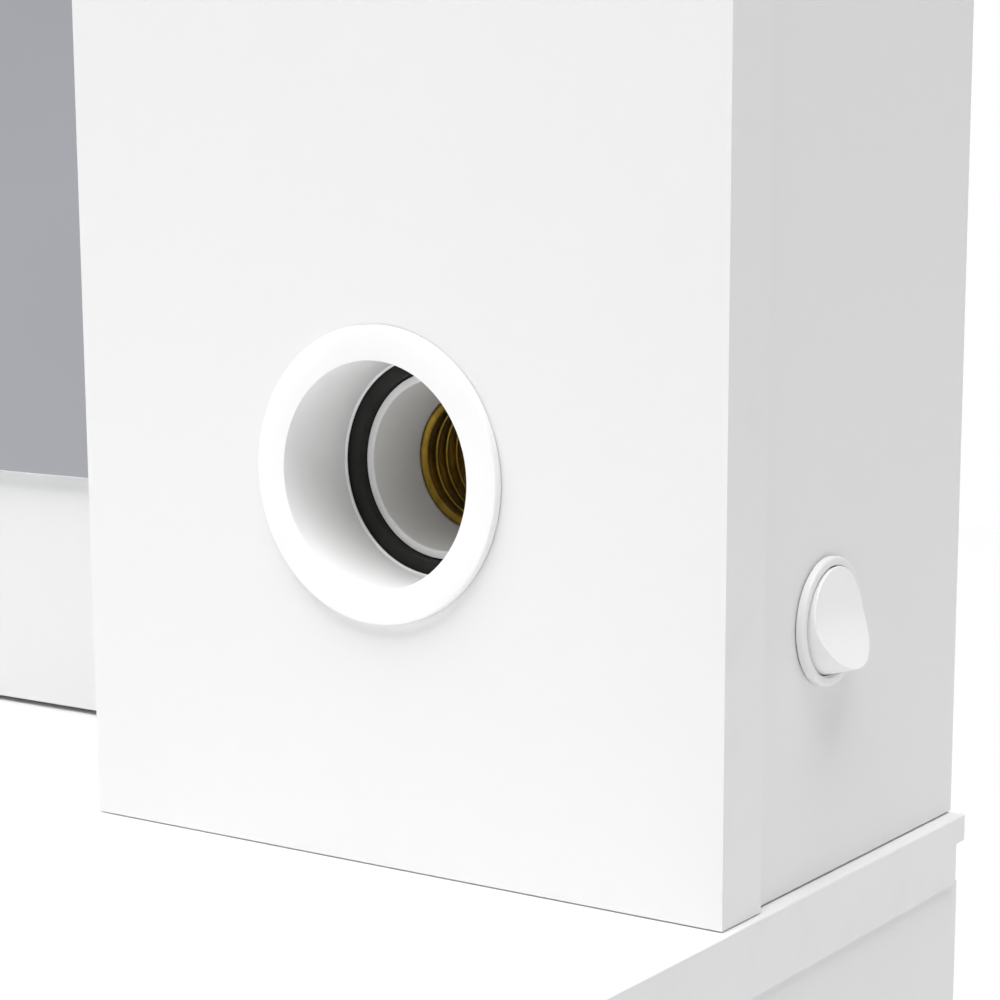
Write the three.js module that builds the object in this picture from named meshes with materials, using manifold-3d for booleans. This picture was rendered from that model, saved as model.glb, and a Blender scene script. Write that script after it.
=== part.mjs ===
// A vanity table: a panel-ended table with one wide drawer, and a lit mirror unit on its back edge.
// Two hollow columns flank the mirror. Each holds three recessed screw lampholders.
// The right one also holds a rocker switch.
// Millimetres. +X is the sitter's right, +Y the back, +Z up. The origin is on the floor, under the middle.
import * as THREE from "three";
import { mergeVertices } from "three/addons/utils/BufferGeometryUtils.js";
import Module from "manifold-3d";

const wasm = await Module();
wasm.setup();

// Driving dimensions
const BOARD = 15; // faced chipboard
const THIN_BOARD = 3; // hardboard backs and drawer bottom
const DRAWER_BOARD = 12; // drawer sides and back
const REVEAL = 1.75; // how far a top or a front stands proud of the panel behind or under it
const FIT = 0.3; // assembly gap between round pieces that sit in each other
const BACK_LAP = 10; // how far a hardboard back laps into the rebate of each side panel
const OVERCUT = 1; // how far a cutting tool runs on past the piece it cuts

const TABLE = { width: 800, height: 750, front: -191, back: 210 };
const REBATE = { depth: 4.2, height: 9 }; // along the top's lower back edge, for the hardboard back
const COLUMN = { width: 160.6, depth: 106, height: 600 };
const MIRROR = { setback: 72, glass: 3, foot: 63.8, boardLift: 1.3, sideGap: 1, topGap: 2 };
const SOCKET = { count: 3, fromEnd: 81.1, fromOuterEdge: 80 };
const SWITCH = {
  behindFront: 43, aboveTop: 53, tiltDeg: 14.7, depth: 18, bezel: 13, body: 12,
  proud: 2, chamfer: 0.6, well: 11.3, ledge: 11, ledgeProud: 1.2, wellDepth: 9,
};
const ROCKER = {
  radius: 10.4, pivotProud: 1, foot: -7, footRadius: 8, shoulder: -1, valley: 2, soft: 1, blank: 8,
};
const DRAWER = {
  frontHeight: 150, gap: 3, boxHeight: 100, boxLength: 340, sideClearance: 3, lift: 8, floorClearance: 1,
};
const GUIDE = {
  width: 9, height: 17, inGroove: 6, play: 0.5, length: 330, aboveBottom: 36, setback: 6, endPlay: 2,
};
const STRETCHER_HEIGHT = 180;
const GLIDE = { radius: 10, height: 4, fromEdge: 40, chamfer: 2 };
const KNOB = { length: 18, spacing: 380 };
const TRIM = { flange: 30, bore: 23, wall: 0.7, proud: 2.1, depth: 18.5, chamfer: 0.4 };
const NUT = { face: 19, back: 22.5, radius: 27 };
const HOLDER = {
  hole: 24, rim: 21, radius: 19.6, collar: 22, shoulder: 48, cap: 15.5, back: 64,
  mouth: 17.9, shellFrom: 33, seat: 15.2, floor: 56,
};
const THREAD = { crests: 3, pitch: 3.6, crest: 12.6, root: 13.6, flare: 14.6 };
const CABLE = { radius: 3, hole: 6, belowTop: 40, beforeBack: 8, lane: 10, switchTail: 12, facets: 8 };
const TERMINAL = { width: 16, depth: 40, height: 24, aboveTop: 20 };
const GLAND = { bore: 3.8, neck: 6, flange: 9, inside: 6, thickness: 1, fromSide: 40, aboveTop: 30 };
const ROUND = 20; // facets round a turned piece

// Levels and planes that follow from them
const topUnderside = TABLE.height - BOARD;
const columnFront = TABLE.back - COLUMN.depth;
const backPlane = TABLE.back - REBATE.depth; // the front face of both hardboard backs
const backFace = backPlane + THIN_BOARD;
const columnTop = TABLE.height + COLUMN.height;
const frontOuterEdge = TABLE.width / 2 - REVEAL;
const frontInnerEdge = frontOuterEdge - COLUMN.width;
const socketLine = frontOuterEdge - SOCKET.fromOuterEdge;
const outerSideFace = frontOuterEdge - REVEAL;
const innerSideFace = frontInnerEdge + REVEAL;
const endPanelFace = TABLE.width / 2 - 1;
const carcaseHalf = endPanelFace - BOARD;
const carcaseFront = TABLE.front + REVEAL;
const socketSpacing = (COLUMN.height - 2 * SOCKET.fromEnd) / (SOCKET.count - 1);
const socketLevels = Array.from({ length: SOCKET.count },
  (_, i) => TABLE.height + SOCKET.fromEnd + i * socketSpacing);
const cableLevel = columnTop - CABLE.belowTop; // where the cable crosses behind the mirror
const cableDepth = backPlane - CABLE.beforeBack;
const switchDepth = columnFront + SWITCH.behindFront;
const switchLevel = TABLE.height + SWITCH.aboveTop;
const glandX = outerSideFace - GLAND.fromSide;
const glandLevel = TABLE.height + GLAND.aboveTop;
const drawerFrontFoot = topUnderside - DRAWER.gap - DRAWER.frontHeight;
const floorTop = drawerFrontFoot + BOARD - REVEAL; // the drawer front covers most of the floor's front edge
const stretcherFoot = floorTop - BOARD - STRETCHER_HEIGHT;

const finish = (color, roughness, metalness = 0) =>
  new THREE.MeshStandardMaterial({ color, roughness, metalness });
const WHITE_BOARD = finish(0xf2f2f2, 0.45);
const HARDBOARD = finish(0xe4e2de, 0.7);
const MIRROR_GLASS = finish(0xaaabb0, 0.03, 1);
const WHITE_PLASTIC = finish(0xfafafa, 0.3);
const BLACK_PLASTIC = finish(0x262521, 0.5);
const GREY_PLASTIC = finish(0xb8b8b8, 0.5);
const BRASS = finish(0x8a6f22, 0.35, 1);
const METAL = finish(0xc9c9cb, 0.3, 1);
const SHEATH = finish(0xededed, 0.6);

const vanity = new THREE.Group();

function add(name, geometry, material, [x, y, z] = [0, 0, 0]) {
  const mesh = new THREE.Mesh(geometry, material.clone());
  mesh.name = name;
  mesh.position.set(x, y, z);
  vanity.add(mesh);
  return mesh;
}

// Booleans: a closed geometry as a solid, and a solid as a geometry again
function solid(geometry) {
  const bare = geometry.clone();
  bare.deleteAttribute("normal");
  bare.deleteAttribute("uv");
  const merged = mergeVertices(bare, 1e-4);
  const vertProperties = merged.attributes.position.array;
  const triVerts = new Uint32Array(merged.index.array);
  return new wasm.Manifold(new wasm.Mesh({ numProp: 3, vertProperties, triVerts }));
}

function geometryOf(body) {
  const mesh = body.getMesh();
  const geometry = new THREE.BufferGeometry();
  geometry.setAttribute("position", new THREE.BufferAttribute(mesh.vertProperties, 3));
  geometry.setIndex(new THREE.BufferAttribute(mesh.triVerts, 1));
  geometry.computeVertexNormals();
  return geometry;
}

const cut = (geometry, tools) =>
  geometryOf(tools.reduce((body, tool) => body.subtract(solid(tool)), solid(geometry)));

const join = (geometries) =>
  geometryOf(geometries.slice(1).reduce((body, g) => body.add(solid(g)), solid(geometries[0])));

// A box between two limits on each axis, in the part's own frame
function block([x0, x1], [y0, y1], [z0, z1]) {
  const geometry = new THREE.BoxGeometry(x1 - x0, y1 - y0, z1 - z0);
  return geometry.translate((x0 + x1) / 2, (y0 + y1) / 2, (z0 + z1) / 2);
}

// Limits on the left or right side, mirrored where side is -1
const sided = (side, near, far) => (side > 0 ? [near, far] : [-far, -near]);

// A round hole tool along Y or X
function drill(axis, radius, length, [x, y, z]) {
  const tool = new THREE.CylinderGeometry(radius, radius, length, ROUND);
  if (axis === "x") tool.rotateZ(-Math.PI / 2);
  return tool.translate(x, y, z);
}

// A turned piece: profile points are [radius, distance along +Y], outer wall towards +Y.
// A profile that keeps off the axis closes on itself.
const turned = (profile) =>
  new THREE.LatheGeometry(profile.map(([r, y]) => new THREE.Vector2(r, y)), ROUND);

const SIDES = [
  ["left", -1],
  ["right", 1],
];

// Table carcase
function carcase() {
  const half = TABLE.width / 2;
  const rebate = block(
    [-half - OVERCUT, half + OVERCUT],
    [TABLE.back - REBATE.depth, TABLE.back + OVERCUT],
    [topUnderside - OVERCUT, topUnderside + REBATE.height],
  );
  const top = block([-half, half], [TABLE.front, TABLE.back], [topUnderside, TABLE.height]);
  add("table_top", cut(top, [rebate]), WHITE_BOARD);

  for (const [label, side] of SIDES) {
    const across = sided(side, carcaseHalf, endPanelFace);
    const end = block(across, [carcaseFront, backFace], [GLIDE.height, topUnderside]);
    const backRebate = block(sided(side, carcaseHalf - OVERCUT, carcaseHalf + BACK_LAP),
      [backPlane, backFace + OVERCUT], [stretcherFoot, topUnderside + OVERCUT]);
    add(`end_panel_${label}`, cut(end, [backRebate]), WHITE_BOARD);
    const ends = [["front", carcaseFront + GLIDE.fromEdge], ["rear", backPlane - GLIDE.fromEdge]];
    for (const [place, y] of ends) {
      const foot = turned([[0, 0], [GLIDE.radius - GLIDE.chamfer, 0], [GLIDE.radius, GLIDE.chamfer],
        [GLIDE.radius, GLIDE.height], [0, GLIDE.height]]).rotateX(Math.PI / 2);
      const middle = side * (endPanelFace - BOARD / 2);
      // Narrower than the board it is nailed into
      foot.scale(BOARD / 2 / GLIDE.radius, 1, 1);
      add(`foot_glide_${place}_${label}`, foot, GREY_PLASTIC, [middle, y, 0]);
    }
  }

  const inside = [-carcaseHalf, carcaseHalf];
  add("drawer_compartment_floor", block(inside, [carcaseFront + BOARD + DRAWER.floorClearance, backPlane],
    [floorTop - BOARD, floorTop]), WHITE_BOARD);
  add("stretcher_panel", block(inside, [backPlane - BOARD, backPlane],
    [stretcherFoot, floorTop - BOARD]), WHITE_BOARD);
  const backHalf = carcaseHalf + BACK_LAP;
  const backTop = topUnderside + REBATE.height - 1; // let up into the top's rebate, 1 mm short of its end
  add("table_back", block([-backHalf, backHalf], [backPlane, backFace],
    [stretcherFoot, backTop]), HARDBOARD);
}

// Drawer on two plastic guide strips, which run in grooves in its sides
function drawer() {
  const halfFront = carcaseHalf - DRAWER.gap;
  const boxFront = carcaseFront + BOARD;
  const boxBack = boxFront + DRAWER.boxLength;
  const boxHalf = carcaseHalf - DRAWER.sideClearance;
  const bottom = floorTop + DRAWER.lift;
  const sideTop = bottom + DRAWER.boxHeight;
  add("drawer_front", block([-halfFront, halfFront], [carcaseFront, boxFront],
    [drawerFrontFoot, drawerFrontFoot + DRAWER.frontHeight]), WHITE_BOARD);
  add("drawer_bottom", block([-boxHalf, boxHalf], [boxFront, boxBack],
    [bottom, bottom + THIN_BOARD]), HARDBOARD);
  const foot = bottom + THIN_BOARD;
  const insideHalf = boxHalf - DRAWER_BOARD;
  add("drawer_back", block([-insideHalf, insideHalf], [boxBack - DRAWER_BOARD, boxBack],
    [foot, sideTop]), WHITE_BOARD);

  const guideFoot = foot + GUIDE.aboveBottom;
  for (const [label, side] of SIDES) {
    const board = block(sided(side, insideHalf, boxHalf), [boxFront, boxBack], [foot, sideTop]);
    const groove = block(
      sided(side, boxHalf - GUIDE.inGroove - GUIDE.play, boxHalf + OVERCUT),
      [boxFront + GUIDE.setback - GUIDE.endPlay, boxBack + OVERCUT],
      [guideFoot - GUIDE.play, guideFoot + GUIDE.height + GUIDE.play],
    );
    add(`drawer_side_${label}`, cut(board, [groove]), WHITE_BOARD);
    add(`drawer_guide_${label}`, block(sided(side, carcaseHalf - GUIDE.width, carcaseHalf),
      [boxFront + GUIDE.setback, boxFront + GUIDE.setback + GUIDE.length],
      [guideFoot, guideFoot + GUIDE.height]), GREY_PLASTIC);
    const knob = turned([[0, 0], [14, 0], [15, 1], [15, 4], [13, 6], [6.5, 9],
      [6, KNOB.length - 2], [8, KNOB.length], [0, KNOB.length]]);
    add(`drawer_knob_${label}`, knob, METAL,
      [(side * KNOB.spacing) / 2, carcaseFront - KNOB.length, drawerFrontFoot + DRAWER.frontHeight / 2]);
  }
}

// The two lamp columns: front, two sides, and a hardboard back shared with the mirror
function columns() {
  for (const [label, side] of SIDES) {
    const holes = socketLevels.map((z) =>
      drill("y", HOLDER.hole, BOARD + 2 * OVERCUT, [side * socketLine, columnFront + BOARD / 2, z]));
    const front = block(sided(side, frontInnerEdge, frontOuterEdge),
      [columnFront, columnFront + BOARD], [TABLE.height, columnTop]);
    add(`column_front_${label}`, cut(front, holes), WHITE_BOARD);

    const tall = [TABLE.height, columnTop];
    const outerInside = outerSideFace - BOARD;
    const outer = block(sided(side, outerInside, outerSideFace), [columnFront + BOARD, TABLE.back], tall);
    const backRebate = block(sided(side, outerInside - OVERCUT, outerInside + BACK_LAP),
      [backPlane, TABLE.back + OVERCUT], [TABLE.height - OVERCUT, columnTop + OVERCUT]);
    const switchHole = drill("x", SWITCH.body + FIT, BOARD + 2 * OVERCUT,
      [outerSideFace - BOARD / 2, switchDepth, switchLevel]);
    const outerCuts = side > 0 ? [backRebate, switchHole] : [backRebate];
    add(`column_outer_side_${label}`, cut(outer, outerCuts), WHITE_BOARD);
    const inner = block(sided(side, innerSideFace, innerSideFace + BOARD),
      [columnFront + BOARD, backPlane], tall);
    const cableHole = drill("x", CABLE.hole, BOARD + 2 * OVERCUT,
      [side * (innerSideFace + BOARD / 2), cableDepth, cableLevel]);
    add(`column_inner_side_${label}`, cut(inner, [cableHole]), WHITE_BOARD);
  }
  const backHalf = outerSideFace - BOARD + BACK_LAP;
  const back = block([-backHalf, backHalf], [backPlane, backFace],
    [TABLE.height, columnTop]);
  const glandHole = drill("y", GLAND.neck + FIT, THIN_BOARD + 2 * OVERCUT,
    [glandX, backPlane + THIN_BOARD / 2, glandLevel]);
  add("mirror_unit_back", cut(back, [glandHole]), HARDBOARD);
  const half = TABLE.width / 2;
  add("crown_board", block([-half, half], [columnFront - REVEAL, TABLE.back],
    [columnTop, columnTop + BOARD]), WHITE_BOARD);
}

// Mirror glued to its board, which hangs between the columns just clear of the table top
function mirror() {
  const face = columnFront + MIRROR.setback;
  const half = innerSideFace - MIRROR.sideGap;
  add("mirror_board", block([-innerSideFace, innerSideFace], [face, face + BOARD],
    [TABLE.height + MIRROR.boardLift, columnTop]), WHITE_BOARD);
  add("mirror_glass", block([-half, half], [face - MIRROR.glass, face],
    [TABLE.height + MIRROR.foot, columnTop - MIRROR.topGap]), MIRROR_GLASS);
}

// One recessed lampholder, its profiles measured back from the column's front face
function lampholder(label, side, index, level) {
  const at = [side * socketLine, columnFront, level];
  const suffix = `${label}_${index}`;
  const lining = TRIM.bore + TRIM.wall;
  add(`trim_ring_${suffix}`, turned([
    [TRIM.bore, -TRIM.proud], [TRIM.flange - TRIM.chamfer, -TRIM.proud],
    [TRIM.flange, TRIM.chamfer - TRIM.proud], [TRIM.flange, 0], [lining, 0],
    [lining, TRIM.depth], [TRIM.bore, TRIM.depth], [TRIM.bore, -TRIM.proud],
  ]), WHITE_PLASTIC, at);

  // Clamps the holder's collar against the back of the column front
  const nutBore = HOLDER.radius + FIT;
  add(`clamp_ring_${suffix}`, turned([
    [nutBore, NUT.face], [lining + FIT, NUT.face], [lining + FIT, BOARD], [NUT.radius, BOARD],
    [NUT.radius, NUT.back], [nutBore, NUT.back], [nutBore, NUT.face],
  ]), BLACK_PLASTIC, at);

  // The throat narrows from the rim to the screw shell's seat
  add(`lampholder_${suffix}`, turned([
    [0, HOLDER.floor], [HOLDER.seat, HOLDER.floor], [HOLDER.seat, HOLDER.shellFrom],
    [HOLDER.mouth, HOLDER.rim], [HOLDER.radius, HOLDER.rim],
    [HOLDER.radius, NUT.back], [HOLDER.collar, NUT.back], [HOLDER.collar, HOLDER.shoulder],
    [HOLDER.cap, HOLDER.back], [0, HOLDER.back],
  ]), WHITE_PLASTIC, at);

  // Flared mouth, then thread crests standing in from the root
  const turns = Array.from({ length: THREAD.crests }, (_, i) => i + 0.5);
  const threads = turns.map((turn) => HOLDER.shellFrom + turn * THREAD.pitch)
    .flatMap((y) => [[THREAD.crest, y], [THREAD.root, y + THREAD.pitch / 2]]);
  const bore = [[THREAD.flare, HOLDER.shellFrom + FIT], ...threads, [THREAD.root, HOLDER.floor]];
  const outside = HOLDER.seat - FIT / 2;
  const shell = [...bore, [outside, HOLDER.floor], [outside, HOLDER.shellFrom + FIT], bore[0]];
  add(`screw_shell_${suffix}`, turned(shell.reverse()), BRASS, at);
}

// Rocker switch in the right column's outer side. The rocker turns about a pin along Y, outside the panel.
function lightSwitch() {
  const housing = turned([
    [0, -SWITCH.depth], [SWITCH.body, -SWITCH.depth], [SWITCH.body, 0], [SWITCH.bezel, 0],
    [SWITCH.bezel, SWITCH.proud - SWITCH.chamfer], [SWITCH.bezel - SWITCH.chamfer, SWITCH.proud],
    [SWITCH.well, SWITCH.proud], [SWITCH.well, SWITCH.ledgeProud], [SWITCH.ledge, SWITCH.ledgeProud],
    [SWITCH.ledge, -SWITCH.wellDepth], [0, -SWITCH.wellDepth],
  ]).rotateZ(-Math.PI / 2);
  add("switch_housing", housing, WHITE_PLASTIC, [outerSideFace, switchDepth, switchLevel]);

  // A round cap whose face is a shallow V across the pin, softened in its valley
  const slope = Math.tan(THREE.MathUtils.degToRad(SWITCH.tiltDeg));
  const reach = SWITCH.body;
  const faceAt = (z) => ROCKER.valley + (Math.hypot(z, ROCKER.soft) - ROCKER.soft) * slope;
  const cap = turned([[0, ROCKER.foot], [ROCKER.footRadius, ROCKER.foot], [ROCKER.radius, ROCKER.shoulder],
    [ROCKER.radius, ROCKER.blank], [0, ROCKER.blank]]);
  const v = new THREE.Shape();
  v.moveTo(ROCKER.blank + OVERCUT, -reach);
  v.lineTo(ROCKER.blank + OVERCUT, reach);
  for (let z = reach; z >= -reach; z -= 2) v.lineTo(faceAt(z), z);
  const tool = new THREE.ExtrudeGeometry(v, { depth: 2 * reach, bevelEnabled: false });
  tool.rotateX(Math.PI / 2).translate(0, reach, 0);
  const pivot = [outerSideFace + ROCKER.pivotProud, switchDepth, switchLevel];
  const body = cut(cap.rotateZ(-Math.PI / 2), [tool]);
  const rocker = add("switch_rocker", body, WHITE_PLASTIC, pivot);
  rocker.rotation.y = -THREE.MathUtils.degToRad(SWITCH.tiltDeg);
}

// Electrics inside the columns: a cable entry in the back, a terminal block, and a cable to each lampholder
function cableRun(axis, from, to, [a, b]) {
  const pipe = new THREE.CylinderGeometry(CABLE.radius, CABLE.radius, to - from, CABLE.facets);
  const middle = (from + to) / 2;
  if (axis === "x") return pipe.rotateZ(Math.PI / 2).translate(middle, a, b);
  if (axis === "y") return pipe.translate(a, middle, b);
  return pipe.rotateX(Math.PI / 2).translate(a, b, middle);
}

function electrics() {
  add("cable_gland", turned([
    [GLAND.bore, -GLAND.inside], [GLAND.neck, -GLAND.inside], [GLAND.neck, THIN_BOARD],
    [GLAND.flange, THIN_BOARD], [GLAND.flange, THIN_BOARD + GLAND.thickness / 2],
    [GLAND.flange - 1, THIN_BOARD + GLAND.thickness], [GLAND.bore, THIN_BOARD + GLAND.thickness],
    [GLAND.bore, -GLAND.inside],
  ]), BLACK_PLASTIC, [glandX, backPlane, glandLevel]);

  const blockFace = innerSideFace + BOARD;
  const blockRear = cableDepth - CABLE.radius - FIT;
  const blockFoot = TABLE.height + TERMINAL.aboveTop;
  add("terminal_block", block([blockFace, blockFace + TERMINAL.width],
    [blockRear - TERMINAL.depth, blockRear], [blockFoot, blockFoot + TERMINAL.height]), WHITE_PLASTIC);

  const lane = blockFace + CABLE.lane; // the cable climbs the inside of each column here
  const pieces = [cableRun("x", -lane - CABLE.radius, lane + CABLE.radius, [cableDepth, cableLevel])];
  for (const [, side] of SIDES) {
    const lowest = side > 0 ? blockFoot + 2 : socketLevels[0] - CABLE.radius;
    pieces.push(cableRun("z", lowest, cableLevel + CABLE.radius, [side * lane, cableDepth]));
    for (const level of socketLevels) {
      const [x0, x1] = sided(side, lane, socketLine + CABLE.radius);
      pieces.push(cableRun("x", x0, x1, [cableDepth, level]));
      pieces.push(cableRun("y", columnFront + HOLDER.back + FIT, cableDepth + CABLE.radius,
        [side * socketLine, level]));
    }
  }
  const tailX = outerSideFace - BOARD - CABLE.switchTail;
  pieces.push(cableRun("x", lane, tailX + CABLE.radius, [cableDepth, switchLevel]));
  pieces.push(cableRun("y", switchDepth, cableDepth + CABLE.radius, [tailX, switchLevel]));
  pieces.push(cableRun("x", tailX - CABLE.radius, outerSideFace - SWITCH.depth - FIT,
    [switchDepth, switchLevel]));
  add("wiring_harness", join(pieces), SHEATH);
}

carcase();
drawer();
columns();
mirror();
for (const [label, side] of SIDES) {
  socketLevels.forEach((level, i) => lampholder(label, side, i + 1, level));
}
lightSwitch();
electrics();

export default vanity;
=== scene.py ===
"""A lit vanity table: faced boards, a mirror between two lamp columns, six lampholders and a rocker switch.

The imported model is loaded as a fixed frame. Each operator here models one group of its pieces, in metres.
"""

import math

import bmesh
import bpy
from bpy.props import FloatProperty, FloatVectorProperty, IntProperty, PointerProperty
from bpy.types import Operator, Panel, PropertyGroup
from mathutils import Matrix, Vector


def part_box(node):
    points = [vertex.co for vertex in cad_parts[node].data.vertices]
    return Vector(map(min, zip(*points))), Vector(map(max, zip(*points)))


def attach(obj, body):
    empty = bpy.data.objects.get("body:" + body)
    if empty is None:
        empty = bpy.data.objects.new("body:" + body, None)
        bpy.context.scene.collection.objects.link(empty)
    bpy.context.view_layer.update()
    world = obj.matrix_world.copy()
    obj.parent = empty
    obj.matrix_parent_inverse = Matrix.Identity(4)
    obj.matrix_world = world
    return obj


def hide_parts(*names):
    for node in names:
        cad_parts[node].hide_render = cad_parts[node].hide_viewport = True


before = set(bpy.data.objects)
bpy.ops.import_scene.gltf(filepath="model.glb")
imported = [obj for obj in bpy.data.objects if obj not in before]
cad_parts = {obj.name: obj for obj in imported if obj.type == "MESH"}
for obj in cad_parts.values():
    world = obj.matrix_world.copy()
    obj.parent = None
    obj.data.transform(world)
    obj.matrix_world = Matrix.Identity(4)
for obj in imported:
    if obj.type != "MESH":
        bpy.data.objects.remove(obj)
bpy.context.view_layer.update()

bl_info = {
    "name": "Lit vanity table",
    "version": (1, 0, 0),
    "blender": (4, 5, 0),
    "location": "3D View > Sidebar > Vanity",
    "description": "Models the finished pieces of a vanity table around its packed frame",
    "category": "Object",
}

MM = 0.001
OVERCUT = 10 * MM  # how far a cutting tool runs past the piece it cuts
REVEAL = 1.75 * MM  # small steps between neighbouring boards
DRILL_REACH = 50 * MM  # how far a drilling tool reaches each way from the hole's middle
LAMP_HOLE, SWITCH_HOLE, CABLE_HOLE, GLAND_HOLE = (radius * MM for radius in (24, 12.3, 6, 6.3))
CABLE_BELOW_TOP = 40 * MM  # where the cable crosses between the columns
CABLE_BEFORE_BACK = 8 * MM
SMALL_FACETS = 48  # facets round a small turned piece
HEAD_FACETS = 20  # facets round a nail head
SEAM = 0.3 * MM  # dark seam under a column board that stands on the tabletop
SIDES = (("left", -1), ("right", 1))
SOCKETS = tuple((side, place) for side in ("left", "right") for place in (1, 2, 3))
RIGHT, LEFT, BACK, FRONT, UP, DOWN = (
    Vector(v) for v in ((1, 0, 0), (-1, 0, 0), (0, 1, 0), (0, -1, 0), (0, 0, 1), (0, 0, -1))
)


# ---------------------------------------------------------------- sizes and colours


def colour(name, description, default):
    """A colour property with three channels."""
    return FloatVectorProperty(
        name=name, description=description, subtype="COLOR", size=3, min=0, max=1, default=default
    )


def length(name, description, default):
    """A length property, in metres."""
    return FloatProperty(name=name, description=description, unit="LENGTH", min=0, default=default)


class VANITY_PG_boards(PropertyGroup):
    """Faced boards and hardboard."""

    white: colour("Board white", "Melamine facing", (0.84, 0.84, 0.84))
    band_white: colour("Edge band white", "Plastic band along the board edges", (0.84, 0.84, 0.84))
    core: colour("Chipboard core", "Raw chipboard where a board is cut", (0.48, 0.35, 0.22))
    hardboard: colour("Hardboard", "Lacquered hardboard of the backs", (0.8, 0.79, 0.77))
    band: length("Edge band", "Thickness of the edge band", 1.0 * MM)
    rounding: length("Edge rounding", "Radius along the banded edges", 0.35 * MM)


class VANITY_PG_sockets(PropertyGroup):
    """Lampholders and switch."""

    facets: IntProperty(name="Facets", description="Facets round a turned piece", default=96, min=24, max=192)
    trim: colour("Trim white", "Trim rings and cam covers", (0.93, 0.93, 0.93))
    rocker: colour("Rocker white", "Rocker of the switch", (0.97, 0.97, 0.97))
    bezel: colour("Bezel white", "Housing of the switch", (0.86, 0.86, 0.86))
    holder: colour("Holder white", "Body of the lampholder", (0.72, 0.715, 0.7))
    nut: colour("Clamp ring black", "Clamp ring behind each hole", (0.013, 0.0125, 0.0105))
    # The brass is darkened far below clean brass: painted shade for the dim inside of the lampholder
    brass: colour("Brass", "Screw shell", (0.24, 0.152, 0.023))
    flange_rounding: length("Flange rounding", "Radius of the trim ring's outer edge", 0.35 * MM)


class VANITY_PG_stage(PropertyGroup):
    """Mirror, light and view."""

    silver: colour("Mirror", "Reflection of the mirror", (0.71, 0.72, 0.77))
    floor: colour("Floor", "Floor colour", (0.62, 0.62, 0.62))
    sky_low: FloatProperty(
        name="Low sky", description="Light from the horizon and below", default=0.56, min=0
    )
    sky_high: FloatProperty(name="High sky", description="Light from overhead", default=0.14, min=0)
    key: FloatProperty(name="Key light", description="Strength of the soft key light", default=4.45, min=0)
    key_from: FloatVectorProperty(
        name="Key direction", description="Where the key light comes from", subtype="DIRECTION",
        default=(-0.04, -0.2, 0.979),
    )
    key_spread: FloatProperty(
        name="Key spread", description="Angle that the key light fills", subtype="ANGLE",
        default=math.radians(60),
    )
    view_from: FloatVectorProperty(
        name="View from", description="The camera's place from the right column's foot",
        subtype="TRANSLATION", unit="LENGTH", default=(0.21206, -0.37224, 0.13613),
    )
    view_down: FloatProperty(
        name="View down", description="How far the camera looks down", subtype="ANGLE",
        default=math.radians(9.90),
    )
    view_turn: FloatProperty(
        name="View turn", description="How far the camera is turned to the left", subtype="ANGLE",
        default=math.radians(33.68),
    )
    lens: FloatProperty(
        name="Lens", description="Focal length", subtype="DISTANCE_CAMERA", default=85.39, min=1
    )


# ---------------------------------------------------------------- finishes


class Finish:
    """A material in the making, on object coordinates. Each method adds a node and gives back its output."""

    def __init__(self, name, base, roughness, metallic=0.0, **shader):
        self.material = bpy.data.materials.new(name)
        self.material.use_nodes = True
        self.nodes = self.material.node_tree.nodes
        self.links = self.material.node_tree.links
        self.shader = self.nodes["Principled BSDF"]
        self.place = self.nodes.new("ShaderNodeTexCoord").outputs["Object"]
        values = {"Base Color": (*base, 1), "Roughness": roughness, "Metallic": metallic, **shader}
        for socket, value in values.items():
            self.shader.inputs[socket].default_value = value
        self.material.diffuse_color = (*base, 1)

    def add(self, kind, values=(), output=0, **settings):
        """A node of this kind. Values fill its input sockets by name or number, with a number or a link."""
        node = self.nodes.new("ShaderNode" + kind)
        for key, value in settings.items():
            setattr(node, key, value)
        for socket, value in dict(values).items():
            if isinstance(value, bpy.types.NodeSocket):
                self.links.new(value, node.inputs[socket])
            else:
                node.inputs[socket].default_value = value
        return node.outputs[output]

    def stretch(self, x, y, z):
        """Object coordinates, scaled apart on each axis."""
        return self.add("Mapping", {"Vector": self.place, "Scale": (x, y, z)})

    def noise(self, scale, detail=2.0, roughness=0.5, at=None):
        """Cloudy noise, about 1/scale metres across."""
        values = {"Vector": at or self.place, "Scale": scale, "Detail": detail, "Roughness": roughness}
        return self.add("TexNoise", values)

    def cells(self, scale, at=None, output="Distance", feature="F1"):
        """Cellular pattern, about 1/scale metres across."""
        return self.add("TexVoronoi", {"Vector": at or self.place, "Scale": scale}, output, feature=feature)

    def spread(self, value, low, high, out_low=0.0, out_high=1.0):
        """A value carried from one range to another, and held at its ends."""
        values = {"Value": value, "From Min": low, "From Max": high, "To Min": out_low, "To Max": out_high}
        return self.add("MapRange", values)

    def both(self, operation, a, b):
        """One arithmetic step on two values."""
        return self.add("Math", {0: a, 1: b}, operation=operation)

    def blend(self, share, a, b):
        """Two colours mixed by a share."""
        a, b = (v if isinstance(v, bpy.types.NodeSocket) else (*v, 1) for v in (a, b))
        return self.add("Mix", {0: share, 6: a, 7: b}, 2, data_type="RGBA")

    def tint(self, base, factor):
        """A colour times a factor."""
        return tuple(min(1.0, c * factor) for c in base)

    def set(self, socket, value):
        """Drive one of the shader's sockets."""
        self.links.new(value, self.shader.inputs[socket])
        return self

    def relief(self, height, depth, strength=1.0):
        """Bump of this depth in metres."""
        bump = self.add("Bump", {"Height": height, "Distance": depth, "Strength": strength})
        return self.set("Normal", bump)


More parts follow.
